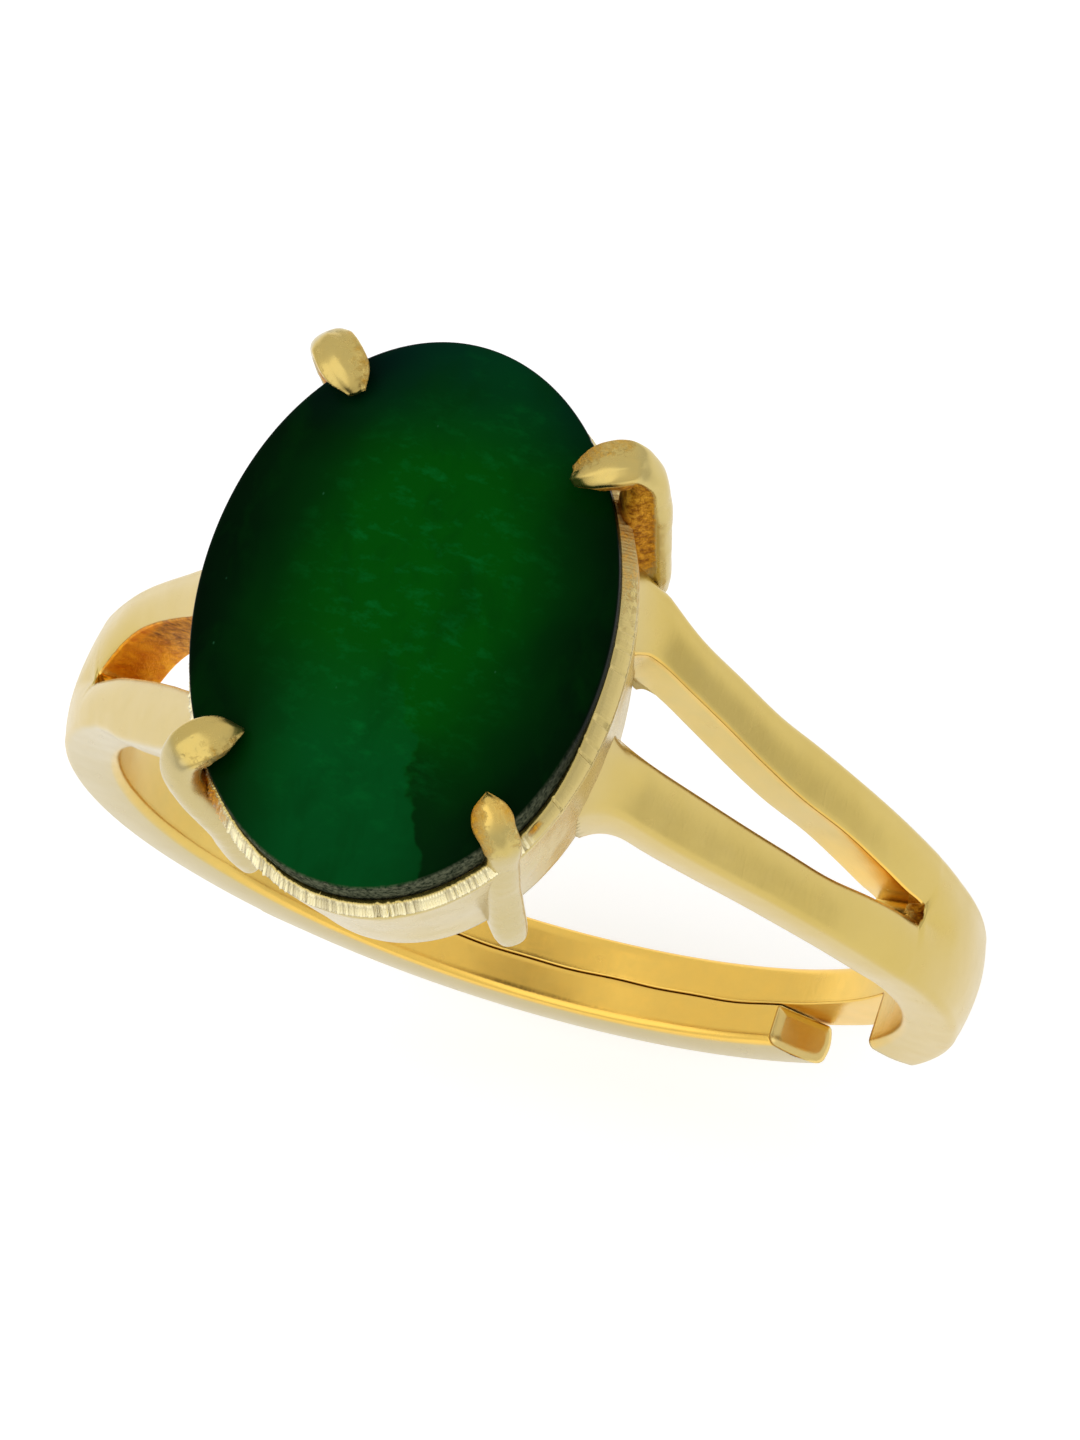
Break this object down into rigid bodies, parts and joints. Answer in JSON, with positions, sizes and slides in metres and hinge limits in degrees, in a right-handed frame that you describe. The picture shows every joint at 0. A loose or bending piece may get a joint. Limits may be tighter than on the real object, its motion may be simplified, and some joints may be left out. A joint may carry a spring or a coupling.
{
  "type": "adjustable gemstone ring",
  "caption": "Finger ring with an oval stone in a four-claw collet on a split shank whose two tails bypass, so its size adjusts.",
  "frame": {"origin": "centre of the finger bore, midway across the band", "axes": "+Y along the finger, +Z out through the stone, +X towards the right shoulder"},
  "size_m": [0.0198, 0.0128, 0.0259],
  "materials": {
    "emerald": "polished, cloudy deep green",
    "satin_gold": "satin pale gold plate",
    "deep_gold": "unpolished gold plate",
    "claw_gold": "filed gold plate"
  },
  "bodies": {
    "setting": {"stone": "emerald", "collet": "satin_gold", "bearer": "deep_gold", "claw_front_left": "claw_gold", "claw_front_right": "claw_gold", "claw_rear_left": "claw_gold", "claw_rear_right": "claw_gold", "arm_front_left": "satin_gold", "arm_rear_left": "satin_gold", "arm_front_right": "satin_gold", "arm_rear_right": "satin_gold", "shoulder_left": "satin_gold", "shoulder_right": "satin_gold"},
    "left_tail": {"shank_left": "satin_gold"},
    "right_tail": {"shank_right": "satin_gold"}
  },
  "joints": [
    {"name": "left_shank_flex", "type": "hinge", "parent": "setting", "child": "left_tail", "pos_m": [-0.00935, 0, 0], "axis": [0, 1, 0], "range_deg": [-4.5, 8]},
    {"name": "right_shank_flex", "type": "hinge", "parent": "setting", "child": "right_tail", "pos_m": [0.00935, 0, 0], "axis": [0, -1, 0], "range_deg": [-4.5, 8]}
  ]
}
